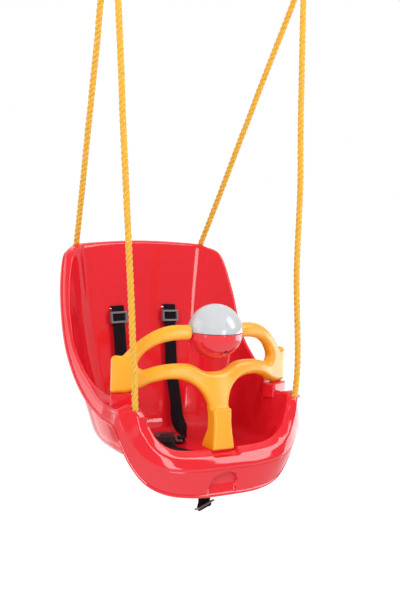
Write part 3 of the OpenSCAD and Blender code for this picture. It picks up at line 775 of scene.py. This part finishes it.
def join_into(kept, *others):
    """Joins raw objects' meshes into a piece."""
    work = bmesh.new()
    work.from_mesh(kept.data)
    for other in others:
        work.from_mesh(other.data)
        bpy.data.objects.remove(other)
    work.to_mesh(kept.data)
    work.free()
    for polygon in kept.data.polygons:
        polygon.material_index = 0


# ---- Shapes from distance fields ------------------------------------------------------------
def outline_distance(outline, low, high, step):
    """Signed distance to a closed outline on a grid, negative inside."""
    axes = [np.arange(a, b + step, step) for a, b in zip(low, high)]
    x, y = np.meshgrid(*axes, indexing="ij")
    nearest, inside = np.full(x.shape, 1e9), np.zeros(x.shape, bool)
    for (ax, ay), (bx, by) in zip(outline, np.roll(outline, -1, 0)):
        ex, ey = bx - ax, by - ay
        t = np.clip(((x - ax) * ex + (y - ay) * ey) / max(ex * ex + ey * ey, 1e-12), 0, 1)
        nearest = np.minimum(nearest, (x - ax - t * ex) ** 2 + (y - ay - t * ey) ** 2)
        if by != ay:
            inside ^= ((ay > y) != (by > y)) & (x < ex * (y - ay) / (by - ay) + ax)
    return np.sqrt(nearest) * np.where(inside, -1, 1), np.array(low, float), step


def look_up(table, x, y):
    """Values of a grid between its points."""
    values, low, step = table
    u = np.clip((x - low[0]) / step, 0, values.shape[0] - 1.001)
    v = np.clip((y - low[1]) / step, 0, values.shape[1] - 1.001)
    i, j = u.astype(int), v.astype(int)
    a, b = u - i, v - j
    return ((1 - a) * (1 - b) * values[i, j] + a * (1 - b) * values[i + 1, j]
            + (1 - a) * b * values[i, j + 1] + a * b * values[i + 1, j + 1])


def both_inside(first, second, radius):
    """Where two solids overlap, its edges rounded."""
    a, b = first + radius, second + radius
    return np.minimum(np.maximum(a, b), 0) + np.hypot(np.maximum(a, 0), np.maximum(b, 0)) - radius


def melted(first, second, width):
    """Two solids joined with a fillet."""
    h = np.maximum(width - abs(first - second), 0) / width
    return np.minimum(first, second) - h * h * width / 4


def carved(first, tool, width):
    """A solid with a tool's shape taken out, its edges filleted."""
    return -melted(-first, tool, width)


def box_distance(x, y, z, half, radius):
    """Signed distance to a rounded box round the origin."""
    q = [abs(x) - half[0] + radius, abs(y) - half[1] + radius, abs(z) - half[2] + radius]
    outside = np.sqrt(sum(np.maximum(c, 0) ** 2 for c in q))
    return outside + np.minimum(np.maximum(np.maximum(q[0], q[1]), q[2]), 0) - radius


def surface_of(field, low, high, step):
    """The zero surface of a distance field over a box, as points and faces."""
    axes = [np.arange(a, b + step, step) for a, b in zip(low, high)]
    values = field(*np.meshgrid(*axes, indexing="ij", sparse=False)).astype(np.float32)
    grid = openvdb.FloatGrid(float(values.max()))
    grid.copyFromArray(values)
    points, quads = grid.convertToQuads(0.0)
    return points.astype(float) * step + np.array(low, float), quads.tolist()


# ---- Guard -------------------------------------------------------------------------------------
BAR_DEPTH, BAR_ROUND, BAR_TOP_Z, BAR_H = 22.0, 9.5, 131.0, 24.0
BAR_END_X = 49.0
OUTLINE_STEPS = 6
# The outline from the front, in mm beside the middle and up: the top of the lower bar, the
# hand loop, the top of the upper bar, the paddle, and under the lower bar down the stem.
SADDLE = through([[0, 49.5], [14, 50], [26, 54], [39, 61.5], [52, 65], [77, 65.5], [102, 62], [124, 55]],
                 OUTLINE_STEPS)
LOOP_END = through([[124, 55], [131, 59], [133, 66], [130, 74]], OUTLINE_STEPS)
LOOP_TOP = through([[130, 74], [121, 86], [104, 98], [80, BAR_TOP_Z - BAR_H - 2],
                    [BAR_END_X, BAR_TOP_Z - BAR_H]], OUTLINE_STEPS)
BAR_TOP = through([[BAR_END_X, BAR_TOP_Z], [76, BAR_TOP_Z], [98, 126], [119, 115], [138, 99], [156, 79]],
                  OUTLINE_STEPS)
PADDLE = np.array([[158, 78], [163, 79], [168, 79], [172, 77], [174, 73], [174, 20], [172, 17],
                   [169, SOCKET_Z]])
UNDERSIDE = through([[150, SOCKET_Z], [131, 23], [112, 33], [91, 38.5], [72, 39.5], [57, 37], [44, 31.5],
                     [33, 23], [25, 12], [20, -1], [18.5, -10], [17.5, -30], [18.5, -50], [20.5, -66],
                     [21.5, -80]], OUTLINE_STEPS)
LEAN, LEAN_TOP, LEAN_FALL, LEAN_SOFT = 0.34, 59.0, 0.45, 8
STEM_TOP = -9.5
# The stem from the side, in mm back and up.
STEM_SIDE = np.array([
    [-12.6, 4], [-13, -10], [-21, -76], [-19, -80], [18, -80], [20, -76], [18, -68], [9, -46],
    [10, -20], [13, -6], [14, 4]], float)
FIELD_STEP, OUTLINE_GRID = 1.5, 1.0
GUARD_LOW, GUARD_HIGH = (-182, -26, -84), (182, 92, 136)


def half_outline():
    """The outline, closed well past the middle so that the two halves meet with no crease."""
    middle = np.array([[30, BAR_TOP_Z - BAR_H], [30, BAR_TOP_Z]])
    beyond = np.array([[-60, -80], [-60, 49.5]])
    return np.concatenate([SADDLE, LOOP_END[1:], LOOP_TOP[1:], middle, BAR_TOP, PADDLE, UNDERSIDE, beyond])


def on_bow(x):
    """Length along the bow of a point x to the side of its middle."""
    inside = BOW_R * np.arcsin(np.clip(x / BOW_R, -1, 1))
    return np.where(x < PADDLE_X, inside, BOW_R * TURN + (x - PADDLE_X) / math.cos(TURN))


def guard_field(x, y, z):
    """Signed distance to the guard."""
    side = abs(x)
    # The lower bar leans forward towards the stem.
    below = LEAN_TOP - LEAN_FALL * np.hypot(side, 26) - z
    leaned = y + LEAN * (below + np.hypot(below, LEAN_SOFT)) / 2
    angle = np.arctan2(side, BALL[1] + BOW_R - leaned)
    bent_u, bent_w = BOW_R * angle, BOW_R - np.hypot(side, BALL[1] + BOW_R - leaned)
    flat_u = (side - PADDLE_X) * math.cos(TURN) + (y - PADDLE_Y) * math.sin(TURN)
    flat_w = (y - PADDLE_Y) * math.cos(TURN) - (side - PADDLE_X) * math.sin(TURN)
    past = angle > TURN
    u = np.where(past, BOW_R * TURN + flat_u, bent_u)
    w = np.where(past, flat_w, bent_w)
    outline = half_outline()
    outline[:, 0] = np.where(outline[:, 0] > 0, on_bow(outline[:, 0]), outline[:, 0])
    front = outline_distance(outline, (-4, -90), (200, 140), OUTLINE_GRID)
    body = both_inside(look_up(front, u, z), abs(w) - BAR_DEPTH / 2, BAR_ROUND)
    body = carved(body, np.maximum(side - BAR_END_X, 90 - z), 2.5)
    body = np.maximum(body, STEM_TOP - 1 - z)
    depth = look_up(outline_distance(STEM_SIDE, (-40, -90), (60, 80), OUTLINE_GRID), y, z)
    stem = both_inside(look_up(front, side, z), np.maximum(depth, z - STEM_TOP), 4.0)
    tongue = box_distance(flat_u - TONGUE_X, flat_w, z - (SOCKET_Z - TONGUE_LEN / 2 + 3),
                          (TONGUE[0] / 2, TONGUE[1] / 2, TONGUE_LEN / 2 + 3), 1.2)
    return np.minimum(melted(body, stem, 4.0), tongue)


def add_guard():
    points, faces = surface_of(guard_field, GUARD_LOW, GUARD_HIGH, FIELD_STEP)
    guard = piece("lift_out_guard", points, faces, "guard", "guard_plastic", YELLOW, 60)
    face_outward(guard.data)
    finish_mesh(guard.data, 60)
    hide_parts("guard")


# ---- Ball ----------------------------------------------------------------------------------------
BALL_R, BALL_WALL, SEAM, SEAM_ROUND = 47.5, 2.5, 0.35, 0.9
AXLE_HOLE = [(4.2, -60), (4.2, 60)]
SCREW_HOLE, SCREW_Y = [(5.4, -60), (5.0, -33.0), (3.4, -30.5), (3.4, -12)], 35


def ball_half(name, node, up, look, slot):
    """One hollow half of the ball, up (1) or down (-1) from its seam."""
    angles = np.radians(np.concatenate([np.linspace(90, 3, 40), [2, 1.4]]))
    outer = [(BALL_R * math.cos(a), BALL_R * math.sin(a)) for a in angles]
    rim = [(BALL_R - SEAM_ROUND * (1 - math.cos(b)), SEAM + SEAM_ROUND * (1 - math.sin(b)) * 0.9)
           for b in np.radians([20, 50, 75, 90])]
    inner_r = BALL_R - BALL_WALL
    inner = [(inner_r * math.cos(a), max(inner_r * math.sin(a), SEAM))
             for a in np.radians(np.linspace(0.5, 90, 30))]
    rows = [(max(r, 0.02), h) for r, h in outer + rim + inner]
    points, faces = lathe(rows, 96)
    points[:, 2] *= up
    made = piece(name, points + BALL, faces, "ball", slot, look, 50)
    face_outward(made.data)
    sideways = np.array([[0, 1, 0], [0, 0, 1], [1, 0, 0]])
    cutters = [placed(lathe(AXLE_HOLE, 32), BALL, sideways)]
    if up < 0:
        screw = lathe(SCREW_HOLE, 32)
        cutters += [placed(screw, BALL + [0, side * SCREW_Y, 0], np.eye(3)) for side in (-1, 1)]
    cut_with(made, cutters)
    finish_mesh(made.data, 40)
    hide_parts(node)


# ---- Webbing ---------------------------------------------------------------------------------------
STRAP_STEPS, STRAP_GAP, ACROSS_POINTS = 8, 2.0, 9


def strap(stops):
    """A flat woven strap. Each stop is a place and the direction across the strap there."""
    rows = np.array([np.concatenate([p, unit(w)]) for p, w in stops], float)
    rows = evenly(through(rows, STRAP_STEPS), STRAP_GAP)
    path, across = rows[:, :3], rows[:, 3:]
    tangents = unit(np.gradient(path, axis=0))
    across = unit(across - np.sum(across * tangents, 1, keepdims=True) * tangents)
    thick = np.cross(tangents, across)
    half, edge = WEB_W / 2, WEB_T / 2
    left = [(-half + edge - edge * math.cos(a), edge * math.sin(a)) for a in np.radians([-60, -20, 20, 60])]
    top = [(x, edge) for x in np.linspace(-half + edge, half - edge, ACROSS_POINTS)]
    right = [(-x, h) for x, h in left[::-1]]
    bottom = [(x, -edge) for x in np.linspace(half - edge, -half + edge, ACROSS_POINTS)]
    ring = np.array(left + top + right + bottom)
    n = len(ring)
    rings = path[:, None] + across[:, None] * ring[None, :, :1] + thick[:, None] * ring[None, :, 1:]
    faces = [[i * n + k, i * n + (k + 1) % n, (i + 1) * n + (k + 1) % n, (i + 1) * n + k]
             for i in range(len(path) - 1) for k in range(n)]
    faces += [list(range(n))[::-1], [(len(path) - 1) * n + k for k in range(n)]]
    along = length_along(path)
    uv = np.stack(np.broadcast_arrays(ring[None, :, 0], along[:, None]), -1).reshape(-1, 2)
    return rings.reshape(-1, 3), faces, uv


# The straps' routes: out of the keeper, through the slot and down, or along the seat's floor.
ACROSS = [1, 0, -0.028]
RUN_TOP, RUN_END = [56, 281, 127], [53, 262, 20]
BACK_END = [
    ([56, 295.2, 136.6], ACROSS), ([56, 298.6, 136.6], ACROSS), ([56, 300.8, 135.4], ACROSS),
    ([56, 301.6, 133.7], ACROSS), ([56, 300.8, 132], ACROSS), ([56, 298.6, 130.9], ACROSS),
    ([56, 286.5, 130.9], ACROSS), ([56, 282.6, 129.8], ACROSS), (RUN_TOP, ACROSS), (RUN_END, ACROSS)]
RIGHT_FOOT = [
    ([54, 254, -14], [1, 0, 0]), ([54, 242, -48], [1, 0, 0]), ([50, 229, -72], [1, 0, 0.2]),
    ([46, 212, -86], [1, 0, 0.6]), ([42, 194, -90], [0.6, 0, 1]), ([38, 176, -91], [0.2, 0, 1]),
    ([34.5, 165, -91], [0, 0, 1])]
LEFT_FOOT = [
    ([44, 254, -14], [1, 0, 0]), ([46, 243, -45], [1, 0, 0]), ([51, 228, -72], [1, 0, 0.2]),
    ([56, 214, -86], [0.9, 0, 0.6]), ([59, 202, -90], [0.5, 0, 1]), ([59.5, 195, -91], [0, 0, 1])]
CROTCH = [
    ([-19, 151, -99], [1, -0.4, 0]), ([-22, 141, -102], [1, -0.35, 0]), ([-20, 124, -105.6], [1, 0, 0]),
    ([-14, 97, -105.2], [1, 0.1, 0]), ([-5, 62, -104.2], [1, 0.1, 0]), ([-1, 44, -103.4], [1, 0, 0]),
    ([0, 39.2, -104.6], [1, 0, 0]), ([0, 37.8, -108], [1, 0, 0]), ([0, 37, -125], [1, 0, 0]),
    ([0, 36.6, -160], [1, 0, -0.2]), ([0, 37, -180], [1, 0, 0.3]), ([0, 38.6, -187], [1, 0, 0.38]),
    ([0, 38.6, -193], [1, 0, 0.38]), ([0, 36, -196], [1, 0, 0.38]), ([0, 33.4, -193], [1, 0, 0.38]),
    ([0, 32.6, -186], [1, 0, 0.38])]


def add_straps():
    for side, foot in (("left", LEFT_FOOT), ("right", RIGHT_FOOT)):
        points, faces, uv = strap(BACK_END + foot)
        if side == "left":
            points, faces = points * MIRROR, [f[::-1] for f in faces]
        name = f"webbing_shoulder_{side}"
        made = piece(name, points, faces, "seat", "webbing", WEBBING, 60, uv)
        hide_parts(f"shoulder_strap_{side}")
    points, faces, uv = strap(CROTCH)
    made = piece("webbing_crotch", points, faces, "seat", "webbing", WEBBING, 60, uv)
    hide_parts("crotch_strap")


# ---- CAD nodes that are kept -------------------------------------------------------------------------
KEPT = {
    "ball_axle": STEEL, "ball_screws": STEEL, "ring_left": STEEL, "ring_right": STEEL,
    "button_spring": STEEL, "adjuster_left": GREY, "adjuster_right": GREY, "back_keeper_left": GREY,
    "back_keeper_right": GREY, "crotch_keeper": GREY, "buckle_base": DARK, "buckle_cover": DARK,
    "buckle_button": DARK, "latch_tongue_left": GREY, "latch_tongue_right": GREY,
    "strap_end_left": WEBBING, "strap_end_right": WEBBING}
# How far their edges are rounded, in mm.
ROUNDED = {
    "adjuster_left": 0.8, "adjuster_right": 0.8, "back_keeper_left": 0.6, "back_keeper_right": 0.6,
    "crotch_keeper": 0.6, "buckle_base": 0.6, "buckle_cover": 1.4, "buckle_button": 0.5,
    "latch_tongue_left": 0.4, "latch_tongue_right": 0.4, "strap_end_left": 0.4, "strap_end_right": 0.4}


def dress_kept_nodes():
    for name, look in KEPT.items():
        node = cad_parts[name]
        node.data.materials.clear()
        node.data.materials.append(look)
        if name in ROUNDED:
            weld = node.modifiers.new("weld", "WELD")
            weld.merge_threshold = 0.02 * MM
            bevel = node.modifiers.new("edges", "BEVEL")
            bevel.width, bevel.segments, bevel.limit_method = ROUNDED[name] * MM, 3, "ANGLE"
            bevel.angle_limit = math.radians(35)
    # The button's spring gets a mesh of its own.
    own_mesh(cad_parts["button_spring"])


# ---- Studio --------------------------------------------------------------------------------------------
def softbox(name, azimuth, elevation, distance, size, radiance, card):
    """An area light round the middle of the seat. Azimuth 0 is in front, 90 to the right.
    A card is only seen in glossy reflections, and the other lights only light."""
    middle = hung([0, 130, 60])
    a, e = math.radians(azimuth), math.radians(elevation)
    away = np.array([math.sin(a) * math.cos(e), -math.cos(a) * math.cos(e), math.sin(e)])
    data = bpy.data.lights.new(name, "AREA")
    data.shape = "RECTANGLE"
    data.size, data.size_y = size
    data.energy = radiance * math.pi * size[0] * size[1]
    light = bpy.data.objects.new(name, data)
    bpy.context.scene.collection.objects.link(light)
    light.location = middle + distance * away
    light.rotation_mode = "QUATERNION"
    light.rotation_quaternion = Vector(-away).to_track_quat("-Z", "Y")
    light.visible_camera = False
    light.visible_glossy, light.visible_diffuse = card, not card


FLOOR_DROP, FLOOR_HALF = 2.5, 30


def add_floor():
    """A pale sweep under the swing, bright enough to meet the white paper behind it."""
    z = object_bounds()[0][2] - FLOOR_DROP
    mesh = bpy.data.meshes.new("floor")
    corners = [(x * FLOOR_HALF, y * FLOOR_HALF, z) for x, y in ((-1, -1), (1, -1), (1, 1), (-1, 1))]
    mesh.from_pydata(corners, [], [(0, 1, 2, 3)])
    floor = bpy.data.objects.new("floor", mesh)
    bpy.context.scene.collection.objects.link(floor)
    look = Look("pale_floor", Roughness=0.9, Specular_IOR_Level=0.1, Emission_Color=(1, 1, 1, 1),
                Emission_Strength=0.48)
    speckle = look.noise(look.place(), 3.0)
    look.link(look.mixed(speckle, (0.92, 0.92, 0.92), (0.94, 0.94, 0.94)), look.shader.inputs["Base Color"])
    mesh.materials.append(look.material)


# Name, azimuth, elevation, distance, size, radiance, and whether it is a card.
LIGHTS = [
    ("key", 25, 50, 2.6, (1.2, 1.2), 5.9, False),
    ("fill", -52, 38, 2.6, (1.2, 1.2), 7.6, False),
    ("band_card", 51, 34, 2.4, (1.05, 1.5), 5.5, True),
    ("low_right_card", 86, -9, 1.9, (1.7, 0.65), 4.5, True),
    ("corner_card", 5, 6, 2.4, (0.6, 1.0), 6.0, True),
    ("left_card", -114, 18, 2.0, (1.9, 1.2), 2.0, True),
    ("left_strip", -68, -8, 2.4, (0.16, 0.6), 5.0, True),
    ("back_card", -150, -24, 1.9, (1.1, 0.9), 1.1, True)]
TOWARD_PAPER = (0.51, 0.85, 0.1)


def add_world():
    """White to the camera, and a soft gradient as light."""
    world = bpy.data.worlds.new("studio")
    bpy.context.scene.world = world
    world.use_nodes = True
    tree = world.node_tree
    tree.nodes.clear()
    kinds = ("OutputWorld", "MixShader", "LightPath", "TexCoord", "VectorMath", "MapRange", "Background",
             "Background")
    output, mix, path, where, dot, spread, seen, around = (tree.nodes.new("ShaderNode" + k) for k in kinds)
    # White paper hangs behind the swing, and the room in front of it is dimmer.
    dot.operation = "DOT_PRODUCT"
    dot.inputs[1].default_value = TOWARD_PAPER
    set_range(spread, -0.1, 0.75, 0.38, 1.0)
    tree.links.new(where.outputs["Generated"], dot.inputs[0])
    tree.links.new(dot.outputs["Value"], spread.inputs["Value"])
    tree.links.new(spread.outputs["Result"], around.inputs["Strength"])
    seen.inputs["Color"].default_value = around.inputs["Color"].default_value = (1, 1, 1, 1)
    seen.inputs["Strength"].default_value = 1.0
    tree.links.new(path.outputs["Is Camera Ray"], mix.inputs["Fac"])
    tree.links.new(around.outputs[0], mix.inputs[1])
    tree.links.new(seen.outputs[0], mix.inputs[2])
    tree.links.new(mix.outputs[0], output.inputs["Surface"])


def add_studio():
    bpy.context.scene.view_settings.view_transform = "Standard"
    add_world()
    for light in LIGHTS:
        softbox(*light)
    add_floor()


add_camera()
add_ropes()
add_shell()
add_guard()
ball_half("ball_cap", "ball_upper", 1, BALL_WHITE, "ball_white")
ball_half("ball_bowl", "ball_lower", -1, BALL_RED, "ball_red")
add_straps()
dress_kept_nodes()
add_studio()
